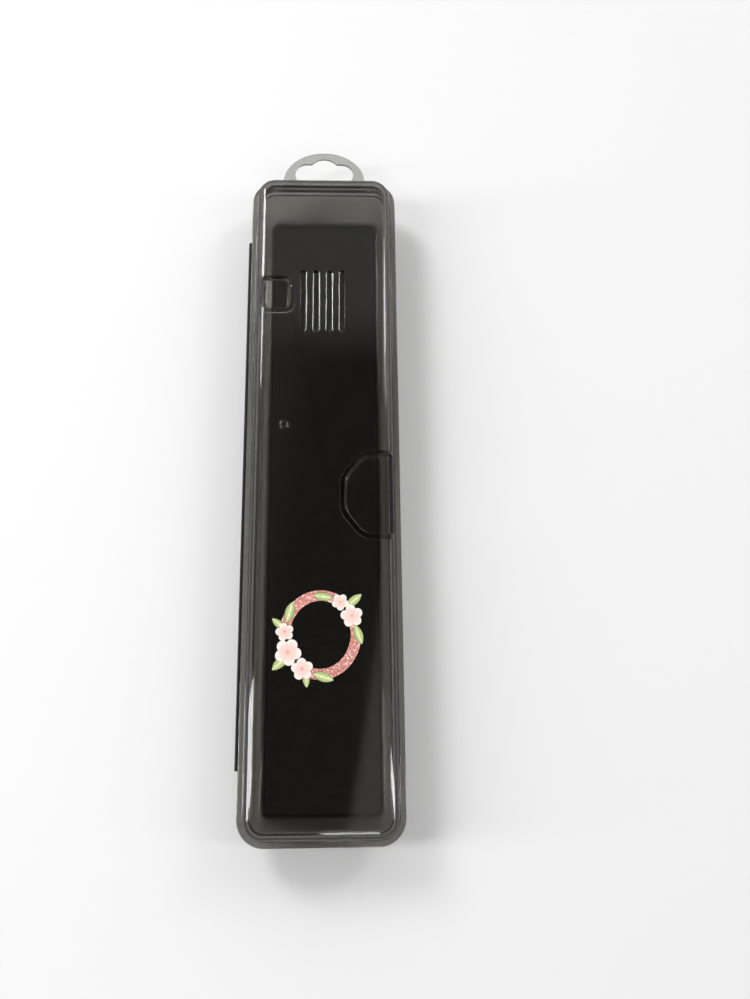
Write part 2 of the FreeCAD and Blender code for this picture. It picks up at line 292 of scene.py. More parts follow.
def rounded_profile(points, radii, steps=11):
    """An open line in a plane with its inner corners rounded.

    At a corner the arc of radius r touches both runs; its centre lies on the bisector at r over the
    sine of half the opening, and its points turn evenly from one touching radius to the other.
    """
    points = np.asarray(points, float)
    radii = np.asarray(radii, float)[:, None]
    corner = points[1:-1]
    back = points[:-2] - corner
    ahead = points[2:] - corner
    back /= np.linalg.norm(back, axis=1, keepdims=True)
    ahead /= np.linalg.norm(ahead, axis=1, keepdims=True)
    opening = np.arccos(np.clip((back * ahead).sum(axis=1, keepdims=True), -1.0, 1.0))
    bisector = back + ahead
    bisector /= np.linalg.norm(bisector, axis=1, keepdims=True)
    centre = corner + bisector * radii / np.sin(opening / 2)
    touch = radii / np.tan(opening / 2)
    first = (corner + back * touch - centre)[:, None]
    last = (corner + ahead * touch - centre)[:, None]
    turn = (np.pi - opening)[:, :, None]
    part = np.linspace(0.0, 1.0, steps)[None, :, None]
    arcs = (np.sin((1 - part) * turn) * first + np.sin(part * turn) * last) / np.sin(turn)
    arcs += centre[:, None]
    return np.concatenate([points[:1], arcs.reshape(-1, 2), points[-1:]])


def even_line(points, count):
    """Evenly spaced points along a line in a plane, and the directions square to it on its left."""
    run = np.concatenate([[0.0], np.cumsum(np.linalg.norm(np.diff(points, axis=0), axis=1))])
    at = np.linspace(0.0, run[-1], count)
    even = together(np.interp(at, run, points[:, 0]), np.interp(at, run, points[:, 1]))
    along = np.gradient(even, axis=0)
    along /= np.linalg.norm(along, axis=1, keepdims=True)
    return even, together(-along[:, 1], along[:, 0])


def corner_turns(steps):
    """A quarter turn of angles for each corner of a rectangle, and the corner's sides as signs."""
    angle = np.radians(np.arange(4)[:, None] * 90.0 + np.linspace(0.0, 90.0, steps)).ravel()
    return angle, np.repeat([[1, 1], [-1, 1], [-1, -1], [1, -1]], steps, axis=0)


def loop(extent, corner, centre, steps):
    """A rounded rectangle as arc centres and outward directions.

    A point of the outline, or of one drawn outside it by an offset, is
    centre + direction * (corner + offset).
    """
    angle, signs = corner_turns(steps)
    middle = np.array(centre, float) + signs * (np.array(extent, float) / 2 - corner)
    return middle, together(np.cos(angle), np.sin(angle))


def case_rings(form, side, near=None, far=None):
    """A profile of inset and height carried round the case outline, perhaps with others at the two ends.

    A row's ring is a rounded rectangle drawn in by the side profile's inset on the long sides and by the
    near and the far profile's at the ends; its height turns from one profile's to the other's with the
    square of the outward direction.
    """
    near = side if near is None else near
    far = side if far is None else far
    angle, signs = corner_turns(17)
    across, along = signs.T
    end = np.where(along[None, :, None] > 0, far[:, None], near[:, None])
    corner = form.corner - side[:, :1]
    x = across * (form.width / 2 - side[:, :1] - corner) + corner * np.cos(angle)
    y = along * (form.length / 2 - end[..., 0] - corner) + corner * np.sin(angle)
    z = side[:, 1:] * np.cos(angle) ** 2 + end[..., 1] * np.sin(angle) ** 2
    return together(x, y, z)


def grid_quads(grid, closed):
    """Numbers of a grid's points, and quads between its rows, also round them where they are closed."""
    index = np.arange(grid.shape[0] * grid.shape[1]).reshape(grid.shape[:2])
    following = np.roll(index, -1, axis=1)
    quads = np.stack([index[:-1], following[:-1], following[1:], index[1:]], axis=-1)
    if not closed:
        quads = quads[:, :-1]
    return index, quads.reshape(-1, 4).tolist()


# Meshes

def linked(name, data):
    """A new object in the scene."""
    holder = bpy.data.objects.new(name, data)
    bpy.context.scene.collection.objects.link(holder)
    return holder


def mended(mesh, merge, outwards):
    """Merges near points and drops short edges, where distances are given, and may turn faces outwards."""
    shape = bmesh.new()
    shape.from_mesh(mesh)
    if merge:
        bmesh.ops.remove_doubles(shape, verts=shape.verts, dist=merge[0])
        bmesh.ops.dissolve_degenerate(shape, edges=shape.edges, dist=merge[1])
    if outwards:
        bmesh.ops.recalc_face_normals(shape, faces=shape.faces)
    shape.to_mesh(mesh)
    shape.free()
    return mesh


def mesh_piece(name, points, faces):
    """A piece from its points and faces: doubles are merged and the faces turned outwards."""
    mesh = bpy.data.meshes.new(name)
    mesh.from_pydata(points.reshape(-1, 3), [], faces)
    return linked(name, mended(mesh, NEW_FORM, True))


def closed_stack(name, rings):
    """A closed form: quads between neighbouring rings, the first and the last ring filled."""
    index, faces = grid_quads(rings, True)
    return mesh_piece(name, rings, faces + [index[0].tolist(), index[-1].tolist()])


def closed_hoop(name, rings):
    """A closed form like a hoop: quads between neighbouring rings, and from the last ring to the first."""
    index, faces = grid_quads(rings, True)
    seam = np.stack([index[-1], np.roll(index[-1], -1), np.roll(index[0], -1), index[0]], axis=-1)
    return mesh_piece(name, rings, faces + seam.tolist())


def carve(body, tool, operation="DIFFERENCE"):
    """Cuts a closed tool out of a body, or joins it on, and removes the tool."""
    step = body.modifiers.new("carve", "BOOLEAN")
    step.operation = operation
    step.solver = "EXACT"
    step.object = tool
    graph = bpy.context.evaluated_depsgraph_get()
    made = bpy.data.meshes.new_from_object(body.evaluated_get(graph))
    body.modifiers.clear()
    former = body.data
    tool_mesh = tool.data
    body.data = made
    bpy.data.objects.remove(tool)
    bpy.data.meshes.remove(tool_mesh)
    bpy.data.meshes.remove(former)
    if len(made.polygons) == 0:
        raise RuntimeError(body.name + ": nothing is left after a cut")
    mended(made, AFTER_CUT, False)
    return body


def smooth(piece, sharp_degrees, keep_flats=False):
    """Smooth shading with sharp edges above an angle, perhaps weighted so that flat faces stay flat."""
    piece.data.shade_smooth()
    piece.data.set_sharp_from_angle(angle=math.radians(sharp_degrees))
    if keep_flats:
        piece.modifiers.new("weighted normals", "WEIGHTED_NORMAL").keep_sharp = True
    return piece


def coated(piece, material):
    """Gives a piece its finish and no other."""
    piece.data.materials.clear()
    piece.data.materials.append(material)


def dressed(piece, name, body, slot, material, *nodes):
    """Names a finished piece, gives it its finish and body, and hides the solids that it stands for."""
    piece.name = name
    piece.data.name = name
    coated(piece, material)
    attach(piece, body)
    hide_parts(*nodes)


# Lid

def lid_floor(form):
    """Height of the lid's rim."""
    return form.base_height + form.parting_gap


def case_top(form):
    """Height of the lid's flat top."""
    return form.base_height + form.parting_gap + form.lid_height


def lid_profile(form, start_inset, rim, top, radius):
    """The lid's wall and shoulder as inset and height, from the rim up to the flat top.

    The wall leans in from the rim by the draft, and the shoulder's arc touches the wall and the top.
    """
    lean = math.tan(form.lid_draft)
    foot = (start_inset + (rim - lid_floor(form)) * lean, rim)
    crown = (start_inset + (top - lid_floor(form)) * lean, top)
    return rounded_profile([foot, crown, (form.corner - LAST_CORNER, top)], [radius], 15)


def lid_outside(form):
    """The lid's outer form: flange with rounded edges, leaning wall, round shoulder, flat top."""
    rim = lid_floor(form)
    flange = rim + form.flange_thickness
    lean = math.tan(form.lid_draft)
    underside_start = 1.2 * MM
    root = form.flange_width + form.flange_thickness * lean
    crown = form.flange_width + form.lid_height * lean
    points = [
        (underside_start, rim),
        (0.0, rim),
        (0.0, flange),
        (root, flange),
        (crown, case_top(form)),
        (form.corner - LAST_CORNER, case_top(form)),
    ]
    radii = [PARTING_EDGE * form.edge_radius, form.edge_radius, form.root_radius, form.shoulder_radius]
    return closed_stack("lid outside", case_rings(form, rounded_profile(points, radii)))


def lid_inside(form):
    """The lid's hollow, drawn in by the wall all round and open below."""
    profile = lid_profile(
        form, form.flange_width + form.wall, form.base_height - 1.0 * MM, case_top(form) - form.wall,
        form.shoulder_radius - form.wall)
    return closed_stack("lid inside", case_rings(form, profile))


def height_over(form, profile, x):
    """The height of a lid profile above a point at a distance from the case's middle line."""
    reach = form.width / 2 - profile[::-1, 0]
    return np.interp(np.abs(x), reach, profile[::-1, 1])


def recess_block(form, lid, start_inset, top, radius, grow):
    """The space that the thumb recess takes out of a lid form.

    The path has two straight sides that run out at the opening side, two slanted runs and a straight end,
    with an arc at each corner. Across it the profile comes in over the rim, leans down the wall and turns
    into the floor. Its depth goes from the lid's own surface to the same surface lowered, whose shoulder
    runs out through the wall.
    """
    count = 44
    arc = 13
    corner = lid.recess_rounding
    depth = lid.recess_depth
    half = form.width / 2
    slant = math.atan2(lid.recess_half - lid.recess_end, lid.recess_bend - lid.recess_left)
    bend = lid.recess_bend + corner * math.tan(slant / 2)
    end_x = lid.recess_left + corner
    end_y = lid.recess_end - corner * math.tan(math.pi / 4 - slant / 2)
    # Sections of the lid's surface and of the lowered one, from the bend out through the wall
    high = lid_profile(form, start_inset, lid_floor(form), top, radius)
    tight = radius * lid.recess_shoulder / form.shoulder_radius
    low = lid_profile(form, start_inset, lid_floor(form), top - depth, tight)[2:]
    leave = low[0, 1]
    wall_inset = start_inset + (leave - lid_floor(form)) * math.tan(form.lid_draft)
    high = np.concatenate([[(wall_inset, leave)], high[1:-1], [(half - bend, top)]])
    low = np.concatenate([low[:-1], [(half - bend, top - depth)]])
    upper, square = even_line(together(half - high[::-1, 0], high[::-1, 1]), count)
    lower, _ = even_line(together(half - low[::-1, 0], low[::-1, 1]), count)
    outside = together(half * np.array([1.3, 1.05]), leave)
    # The path from outside the case to the middle of the straight end
    turn = np.concatenate([np.linspace(0.0, slant, arc)[1:], np.linspace(slant, math.pi / 2, arc)])
    turn += math.pi / 2
    at_x = np.repeat([bend, end_x], [arc - 1, arc])
    at_y = np.repeat([lid.recess_half - corner, end_y], [count + 1 + arc, arc])
    upper = np.concatenate([outside, upper[::-1], together(at_x, top)])
    lower = np.concatenate([outside, lower[::-1], together(at_x, top - depth)])
    upright = np.array([(0.0, 1.0)])
    square = np.concatenate([upright.repeat(2, axis=0), square[::-1], upright.repeat(len(turn), axis=0)])
    ahead_x = np.concatenate([np.zeros(count + 2), np.cos(turn)])
    ahead_y = np.concatenate([np.ones(count + 2), np.sin(turn)])
    # The profile across the wall, which starts a little above the surface, carried along the path
    run = 0.9 * MM
    lean = depth / 2 * math.tan(lid.recess_lean)
    profile = rounded_profile(
        [(lean + run, -0.15 * MM), (lean, 0.0), (-lean, depth), (-lean - run, depth)],
        [lid.recess_edge, lid.recess_edge], 9)
    offset = (corner + grow + profile[:, 0])[:, None]
    sunk = np.maximum(profile[:, 1], 0.0)[:, None, None] / depth
    lift = np.maximum(-profile[:, 1], 0.0)[:, None, None]
    section = upper * (1 - sunk) + lower * sunk + square * lift
    wall = together(section[..., 0] + ahead_x * offset, at_y + ahead_y * offset, section[..., 1])
    lifted = raised(wall[:1], TOOL_REACH * case_top(form))
    # The floor, drawn in from the wall's foot to the middle line, and the other half as a mirror image
    inward = np.linspace(1.0, 0.0, 7)[1:, None]
    ground = np.repeat(wall[-1:], len(inward), axis=0)
    ground[..., 0] += np.maximum(bend - ground[..., 0], 0.0) * 0.5 * (1 - inward)
    ground[..., 1] *= inward
    rows = np.concatenate([lifted, wall, ground])
    rows = np.concatenate([rows, rows[:, ::-1] * np.array([1.0, -1.0, 1.0])], axis=1)
    rows[..., 1] += lid.recess_centre
    index, faces = grid_quads(rows, False)
    mouth = np.concatenate([index[:, 0], index[-2::-1, -1]])
    return mesh_piece("recess", rows, faces + [index[0].tolist(), mouth.tolist()])


def flared(surface, edge, lean):
    """Offsets and heights of a hole's upper edge: an arc from the wall's lean to a few degrees short of
    level, which meets the surface there, then straight on above it."""
    last = math.radians(90.0 - FLARE)
    turn = np.linspace(lean, last, 8)[:, None]
    offset = edge * (math.cos(lean) - np.cos(turn))
    height = surface - edge * (math.sin(last) - np.sin(turn))
    run = 0.4 * MM
    out = offset[-1:] + run * math.cos(math.radians(FLARE))
    up = height[-1:] + run * math.sin(math.radians(FLARE))
    return np.concatenate([offset, out]), np.concatenate([height, up])


def slot_tool(form, lid, centre, ribs):
    """A vent slot: an upright slot with round ends whose upper edge is flared.

    The edge is round on a side where a rib stands, given as 0 or 1 for the left and the right side, and
    nearly sharp on the other; the rounding changes over along the slot's round ends.
    """
    half = lid.vent_width / 2
    middle, ahead = loop((lid.vent_width, lid.vent_length), half, centre, 11)
    rounded = ribs[0] * np.maximum(-ahead[:, 0], 0.0) + ribs[1] * np.maximum(ahead[:, 0], 0.0)
    edge = lid.vent_rim + (lid.vent_edge - lid.vent_rim) * rounded
    offset, height = flared(case_top(form), edge[None], math.pi / 2 - lid.vent_crown)
    offset = np.concatenate([0.0 * offset[:1], offset, offset[-1:]])
    ends = np.ones((1, len(ahead)))
    height = np.concatenate([lid_floor(form) * ends, height, TOOL_REACH * case_top(form) * ends])
    return closed_stack("vent", raised(middle + ahead * (half + offset[:, :, None]), height))


def funnel_at(form, lid, grow, z):
    """The port's outline at heights, one for each point: a straight blend from the hole to the mouth.

    Gives the outline and its outward directions.
    """
    low_middle, ahead = loop(lid.hole, lid.hole_corner, lid.hole_centre, PORT_STEPS)
    high_middle, ahead = loop(lid.mouth, lid.mouth_corner, lid.mouth_centre, PORT_STEPS)
    low = low_middle + ahead * (lid.hole_corner + grow)
    high = high_middle + ahead * (lid.mouth_corner + grow)
    up = ((z - case_top(form)) / lid.port_depth + 1.0)[..., None]
    return low + (high - low) * up, ahead


def port_tool(form, lid):
    """The port's bore: a funnel from below its hole up to a flared mouth that follows the lid's surface.

    The mouth's outline and the height of the surface there depend on each other, so each is worked out
    from the other a few times.
    """
    top = case_top(form)
    wall_lean = math.radians(25.0)
    outer = lid_profile(form, form.flange_width, lid_floor(form), top, form.shoulder_radius)
    surface = np.full(4 * PORT_STEPS, top)
    for _ in range(4):
        outline, ahead = funnel_at(form, lid, 0.0, surface)
        surface = height_over(form, outer, outline[:, 0] + ahead[:, 0] * lid.port_edge)
    offset, height = flared(surface[None], lid.port_edge, wall_lean)
    bottom = np.full((1, len(surface)), top - lid.port_depth - 0.5 * MM)
    at = np.concatenate([bottom, height])
    outline, ahead = funnel_at(form, lid, 0.0, np.minimum(at, height[:1]))
    outline = outline + ahead * np.concatenate([[[0.0]], offset])[:, :, None]
    lifted = raised(outline[-1:], TOOL_REACH * top)
    return closed_stack("port", np.concatenate([raised(outline, at), lifted]))


def port_core(form, lid):
    """The upright block that the hollow leaves standing round the port."""
    top = case_top(form)
    outline = funnel_at(form, lid, lid.port_wall, np.full((2, 4 * PORT_STEPS), top))[0]
    return closed_stack("port wall", raised(outline, [[top - lid.port_depth], [top + 1.0 * MM]]))


def rebate_tool(form):
    """The room for the base's lip: the outline drawn in to the lip, with a flat top, from its start on."""
    inset = form.lip_inset - form.lip_clearance
    top = form.base_height + form.lip_height + form.lip_headroom
    rings = case_rings(form, np.array([(inset, form.base_height), (inset, top)]))
    rings[..., 0] = np.maximum(rings[..., 0], form.lip_start - form.lip_headroom)
    return closed_stack("rebate", rings)


def catch_bead(form, lid, radius):
    """A round bar along the opening side with domed ends: circles whose radius follows a half circle."""
    turn = np.radians(np.linspace(-90.0, 90.0, 13))[:, None]
    about = full_turn(24)
    reach = np.sign(turn) * (form.catch_length / 2 - radius) + radius * np.sin(turn)
    girth = np.maximum(radius * np.cos(turn), 0.02 * radius)
    x = form.width / 2 - form.lip_inset + girth * np.cos(about)
    z = form.base_height + form.catch_height + girth * np.sin(about)
    return closed_stack("catch", together(x, lid.recess_centre + reach, z))


def moulding_mark(form, lid):
    """The small round mark where the lid was fed: a ring of round section that cuts a groove round a stud.

    The ring's middle stands a fifth of its section's radius above the lid.
    """
    around = full_turn(60)
    section = full_turn(24)[:, None]
    reach = lid.mark_radius + lid.mark_groove * np.cos(section)
    x = lid.mark_centre[0] + reach * np.cos(around)
    y = lid.mark_centre[1] + reach * np.sin(around)
    return closed_hoop("mark", together(x, y, case_top(form) + lid.mark_groove * (0.2 + np.sin(section))))


def lid_shell(form, lid):
    """The lid: its outer form less the recess, the hollow and the openings."""
    top = case_top(form)
    hollow = lid_inside(form)
    carve(hollow, recess_block(
        form, lid, form.flange_width + form.wall, top - form.wall, form.shoulder_radius - form.wall,
        form.wall / math.cos(lid.recess_lean)))
    carve(hollow, port_core(form, lid))
    shell = lid_outside(form)
    carve(shell, recess_block(form, lid, form.flange_width, top, form.shoulder_radius, 0.0))
    carve(shell, hollow)
    carve(shell, port_tool(form, lid))
    carve(shell, rebate_tool(form))
    carve(shell, catch_bead(form, lid, form.groove_radius))
    first = lid.vent_centre[0] - (lid.vent_count - 1) / 2 * lid.vent_pitch
    for slot in range(lid.vent_count):
        centre = (first + slot * lid.vent_pitch, lid.vent_centre[1])
        ribs = (float(slot > 0), float(slot < lid.vent_count - 1))
        carve(shell, slot_tool(form, lid, centre, ribs))
    return carve(shell, moulding_mark(form, lid))


# Base and hinge

def base_profile(form, draft, step, reach):
    """The base's section as inset and height: from its floor inside, over the rim, down to its underside.

    The wall stands in by a step more than the flange's width, and both floors run on to an inset.
    """
    lean = math.tan(draft)
    rim = form.base_height
    under = rim - form.flange_thickness
    outer = form.flange_width + step
    inner = outer + form.wall
    points = [
        (reach, form.floor),
        (inner + (rim - form.floor) * lean, form.floor),
        (inner, rim),
        (0.0, rim),
        (0.0, under),
        (outer + form.flange_thickness * lean, under),
        (outer + rim * lean, 0.0),
        (reach, 0.0),
    ]
    edge = form.edge_radius
    foot = form.foot_radius
    radii = [foot - form.wall, edge, edge, PARTING_EDGE * edge, form.root_radius, foot]
    return rounded_profile(points, radii)


def lip_hoop(form):
    """The lip as a hoop: a thin upright section with a rounded top carried round the case outline."""
    low = form.base_height - form.lip_root
    high = form.base_height + form.lip_height
    inner = form.lip_inset + form.lip_thickness
    half = form.lip_inset + form.lip_thickness / 2
    foot_edge = 0.02 * MM
    top_edge = 0.2 * MM
    outer = form.lip_inset
    profile = rounded_profile(
        [(half, low), (outer, low), (outer, high), (inner, high), (inner, low), (half, low)],
        [foot_edge, top_edge, top_edge, foot_edge], 6)
    return closed_hoop("lip", case_rings(form, profile[:-1]))


def block(low, high):
    """A plain block between two corners, as two rings."""
    x = [low[0], high[0], high[0], low[0]]
    y = [low[1], low[1], high[1], high[1]]
    return closed_stack("block", together(x, y, [[low[2]], [high[2]]]))


def base_tray(form, lid):
    """The base: its section carried round the outline, with the lip and the catch bead joined on."""
    end_reach = form.corner + 4.0 * MM
    side = base_profile(form, form.side_draft, 0.0, form.corner - LAST_CORNER)
    near = base_profile(form, form.end_draft, 0.0, end_reach)
    far = base_profile(form, form.end_draft, form.far_step, end_reach)
    tray = closed_stack("base", case_rings(form, side, near, far))
    lip = lip_hoop(form)
    low = (-form.width, -form.length, -10.0 * MM)
    hinge_side = block(low, (form.lip_start, form.length, 2 * case_top(form)))
    carve(lip, hinge_side)
    carve(lip, catch_bead(form, lid, form.catch_radius), "UNION")
    return carve(tray, lip, "UNION")


def hinge_axis(form, hinge):
    """Where the fold's middle line stands, as distance from the case's middle line and height."""
    return -(form.width / 2 + hinge.leaf), form.base_height + form.parting_gap / 2


def hinge_strip(form, hinge):
    """A hairpin section carried along the case: two leaves joined by a half-round fold."""
    axis = np.array(hinge_axis(form, hinge))
    turn = np.radians(np.linspace(90.0, 270.0, 25))
    fold = together(np.cos(turn), np.sin(turn))
    outer = axis + fold * hinge.fold_radius
    inner = axis + fold[::-1] * (hinge.fold_radius - hinge.thickness)
    reach = np.linspace(hinge.leaf, 0.0, 4)[:-1, None] * np.array([1.0, 0.0])
    section = np.concatenate([
        outer[:1] + reach, outer, outer[-1:] + reach[::-1],
        inner[:1] + reach, inner, inner[-1:] + reach[::-1]])
    along = hinge.centre + hinge.length * np.linspace(-0.5, 0.5, 84)
    return closed_stack("hinge", together(section[:, 0], along[:, None], section[:, 1]))


# Decal

def on_ring(decal, degrees):
    """A point on the middle line of the decal's ring."""
    turn = np.radians(degrees)
    return np.array(decal.centre) + np.array(decal.ring) * np.array([np.cos(turn), np.sin(turn)])


def blossom_rows(form, decal, degrees, radius):
    """A flat blossom as a polar grid: its edge is the outer side of overlapping round petals.

    A petal of radius p stands at distance d, so within its share of the turn the edge is
    d cos a + sqrt(p² - d² sin² a). The sheet is slightly domed and sinks between the petals.
    Gives the points and, for each, the turn within its petal and the distance from the heart.
    """
    petal = radius * decal.petal_size
    stand = radius - petal
    around = full_turn(120)
    pitch = 2 * np.pi / decal.petals
    within = (around + pitch / 2) % pitch - pitch / 2
    edge = stand * np.cos(within) + np.sqrt(np.maximum(petal ** 2 - (stand * np.sin(within)) ** 2, 0.0))
    part = np.concatenate([np.linspace(0.02, 1.0, 15), [1.0]])[:, None]
    angle = around + np.radians(degrees)
    plan = on_ring(decal, degrees) + together(part * edge * np.cos(angle), part * edge * np.sin(angle))
    fold = np.cos(within / pitch * 2 * np.pi) * part
    rise = decal.thickness * (0.72 + 0.16 * fold - 0.22 * part ** 6)
    rise[-1] = CUT_EDGE * decal.thickness
    return raised(plan, case_top(form) + rise), together(within / pitch + 0.5, part)


def leaf_rows(form, decal, degrees, direction, length):
    """A pointed leaf as a grid from root to tip: its half width is that of two arcs through both ends.

    Gives the points and, for each, the place across the leaf and along it.
    """
    half = length * decal.leaf_slenderness / 2
    radius = (length ** 2 / 4 + half ** 2) / (2 * half)
    part = np.linspace(0.005, 0.995, 31)[:, None]
    width = np.sqrt(radius ** 2 - (length * (part - 0.5)) ** 2) - (radius - half)
    across = np.concatenate([[-1.0], np.linspace(-1.0, 1.0, 13), [1.0]])
    turn = np.radians(direction)
    axis = np.array([np.cos(turn), np.sin(turn)])
    flank = np.array([-axis[1], axis[0]])
    root = on_ring(decal, degrees)
    plan = root + axis * (length * part)[..., None] + flank * (width * across)[..., None]
    rise = decal.thickness * (0.42 - 0.14 * np.exp(-(across / 0.16) ** 2))
    rise[[0, -1]] = CUT_EDGE * decal.thickness
    return raised(plan, case_top(form) + rise), together(across / 2 + 0.5, part)


def painted_sheets(name, grids, closed):
    """Several grids as one piece, each with its flat coordinates as the UV map and its edges filled."""
    points = np.concatenate([rows.reshape(-1, 3) for rows, _ in grids])
    painted = np.concatenate([flat.reshape(-1, 2) for _, flat in grids])
    faces = []
    start = 0
    for rows, _ in grids:
        index, quads = grid_quads(rows, closed)
        caps = [index[0][::-1], index[-1]]
        if not closed:
            caps.append(np.concatenate([index[:, 0], index[::-1, -1]]))
        faces += (np.array(quads) + start).tolist() + [(cap + start).tolist() for cap in caps]
        start += index.size
    mesh = bpy.data.meshes.new(name)
    mesh.from_pydata(points, [], faces)
    corners = np.empty(len(mesh.loops), np.int32)
    mesh.loops.foreach_get("vertex_index", corners)
    layer = mesh.uv_layers.new(name="painted")
    layer.uv.foreach_set("vector", painted[corners].astype(np.float32).ravel())
    return smooth(linked(name, mended(mesh, None, True)), 50.0)


# Nodes

def give(tree, socket, value):
    """Links a socket to another node's output, or sets it to a value."""
    if isinstance(value, bpy.types.NodeSocket):
        tree.links.new(value, socket)
    else:
        socket.default_value = value


def add(tree, kind, **values):
    """A node whose sockets, named with underscores for spaces, get values or other nodes' outputs."""
    node = tree.nodes.new("ShaderNode" + kind)
    for name, value in values.items():
        give(tree, node.inputs[name.replace("_", " ")], value)
    return node


def computed(tree, kind, operation, *values):
    """The outputs of a node that works out one operation on numbers or other nodes' outputs."""
    node = tree.nodes.new("ShaderNode" + kind)
    node.operation = operation
    for socket, value in zip(node.inputs, values):
        give(tree, socket, value)
    return node.outputs


def maths(tree, operation, *values):
    return computed(tree, "Math", operation, *values)["Value"]


def eased(tree, source, low, high, start=0.0, end=1.0):
    """A value that goes from low to high while another goes from start to end."""
    node = add(tree, "MapRange", Value=source, From_Min=start, From_Max=end, To_Min=low, To_Max=high)
    return node.outputs["Result"]


def own_place(tree):
    return add(tree, "TexCoord").outputs["Object"]


def noise(tree, where, scale, detail, roughness):
    node = add(tree, "TexNoise", Vector=where, Scale=scale, Detail=detail, Roughness=roughness)
    return node.outputs["Fac"]


def toned(tone, factor):
    """A colour made darker or paler by a factor."""
    return tuple(factor * part for part in tone)


def ramp(tree, source, stops):
    """A colour ramp over a value, with stops of position and colour."""
    node = add(tree, "ValToRGB", Fac=source)
    marks = node.color_ramp.elements
    marks.remove(marks[-1])
    marks[0].position = stops[0][0]
    marks[0].color = (*stops[0][1], 1.0)
    for position, tone in stops[1:]:
        marks.new(position).color = (*tone, 1.0)
    return node.outputs["Color"]


def mixed(tree, fraction, first, second):
    """One colour or the other, by a value from 0 to 1."""
    node = tree.nodes.new("ShaderNodeMix")
    node.data_type = "RGBA"
    give(tree, node.inputs["Factor"], fraction)
    tones = [socket for socket in node.inputs if socket.type == "RGBA"]
    give(tree, tones[0], first)
    give(tree, tones[1], second)
    return next(socket for socket in node.outputs if socket.type == "RGBA")


def either(tree, mask, first, second):
    """One shader or, where a mask is 1, another."""
    node = tree.nodes.new("ShaderNodeMixShader")
    for socket, value in zip(node.inputs, (mask, first.outputs[0], second.outputs[0])):
        give(tree, socket, value)
    return node.outputs[0]


def seen_rays(tree):
    """Two masks: what the camera sees straight on, and what it sees mirrored or through the plastic."""
    rays = add(tree, "LightPath").outputs
    return rays["Is Camera Ray"], maths(tree, "MAXIMUM", rays["Is Glossy Ray"], rays["Is Transmission Ray"])


def value_group(name, inputs, outputs):
    """A new node group with values in and out; gives it, what comes in and what goes out."""
    group = bpy.data.node_groups.new(name, "ShaderNodeTree")
    for way, sockets in (("INPUT", inputs), ("OUTPUT", outputs)):
        for socket in sockets:
            group.interface.new_socket(socket, in_out=way, socket_type="NodeSocketFloat")
    entry = group.nodes.new("NodeGroupInput")
    leave = group.nodes.new("NodeGroupOutput")
    return group, entry.outputs, leave.inputs


def handled_plastic(name):
    """Finish of handled plastic: soft smudges, fine rubs along the case and the flow of the moulding."""
    group, entry, leave = value_group(name, ("Polish", "Smudge"), ("Roughness", "Height"))
    where = own_place(group)
    drawn_out = add(group, "Mapping", Vector=where, Scale=(1.0, 0.06, 1.0)).outputs["Vector"]
    smudges = eased(group, noise(group, where, scale=95.0, detail=3.0, roughness=0.55), -0.6, 1.4)
    rubs = noise(group, drawn_out, scale=2600.0, detail=2.0, roughness=0.6)
    flow = noise(group, where, scale=34.0, detail=1.0, roughness=0.4)
    rub_height = 0.004
    spread = maths(group, "MULTIPLY", maths(group, "MULTIPLY", smudges, rubs), entry["Smudge"])
    give(group, leave["Roughness"], maths(group, "ADD", spread, entry["Polish"]))
    give(group, leave["Height"], maths(group, "ADD", flow, maths(group, "MULTIPLY", rubs, rub_height)))
    return group


def printed_vinyl(name):
    """Finish of printed vinyl: a washed colour strength and the grain of the film."""
    group, _, leave = value_group(name, (), ("Wash", "Roughness", "Height"))
    where = own_place(group)
    grain = noise(group, where, scale=7000.0, detail=2.0, roughness=0.5)
    give(group, leave["Wash"], noise(group, where, scale=900.0, detail=4.0, roughness=0.6))
    give(group, leave["Roughness"], eased(group, grain, 0.32, 0.55))
    give(group, leave["Height"], grain)
    return group


def finished(tree, shader, name, build, strength, relief, **values):
    """Puts a shared finish, built once, on a shader: roughness and a shallow relief. Gives its outputs."""
    node = tree.nodes.new("ShaderNodeGroup")
    node.node_tree = bpy.data.node_groups.get(name) or build(name)
    for key, value in values.items():
        node.inputs[key].default_value = value
    bump = add(tree, "Bump", Strength=strength, Distance=relief, Height=node.outputs["Height"])
    give(tree, shader.inputs["Roughness"], node.outputs["Roughness"])
    give(tree, shader.inputs["Normal"], bump.outputs["Normal"])
    return node.outputs


def handled(tree, shader, polish, smudge):
    finished(
        tree, shader, "handled plastic", handled_plastic, 1.0, 0.02 * MM, Polish=polish, Smudge=smudge)


# Materials

def fresh_material(name, **values):
    """A new material with one shader on its surface; gives it, its nodes, the shader and the output."""
    material = bpy.data.materials.new(name)
    material.use_nodes = True
    tree = material.node_tree
    tree.nodes.clear()
    shader = add(tree, "BsdfPrincipled", **values)
    return material, tree, shader, add(tree, "OutputMaterial", Surface=shader.outputs[0])


def see_through(name, tint, density, shade, polish, smudge, ior):
    """Clear plastic with a colour in its depth: a glassy surface and an absorbing body.

    Shadow rays pass straight through with a tint, so that the light reaches what lies inside.
    """
    material, tree, shader, leave = fresh_material(
        name, Base_Color=(1.0, 1.0, 1.0, 1.0), Transmission_Weight=1.0, IOR=ior)
    handled(tree, shader, polish, smudge)
    passing = add(tree, "BsdfTransparent", Color=(*shade, 1.0))
    shadow = add(tree, "LightPath").outputs["Is Shadow Ray"]
    give(tree, leave.inputs["Surface"], either(tree, shadow, shader, passing))
    depth = add(tree, "VolumeAbsorption", Color=(*tint, 1.0), Density=density)
    give(tree, leave.inputs["Volume"], depth.outputs[0])
    return material


def smoky_plastic(finish):
    return see_through(
        "smoky_moulding", finish.smoke, finish.smoke_density, finish.smoke_shadow,
        polish=finish.polish, smudge=0.02, ior=1.49)


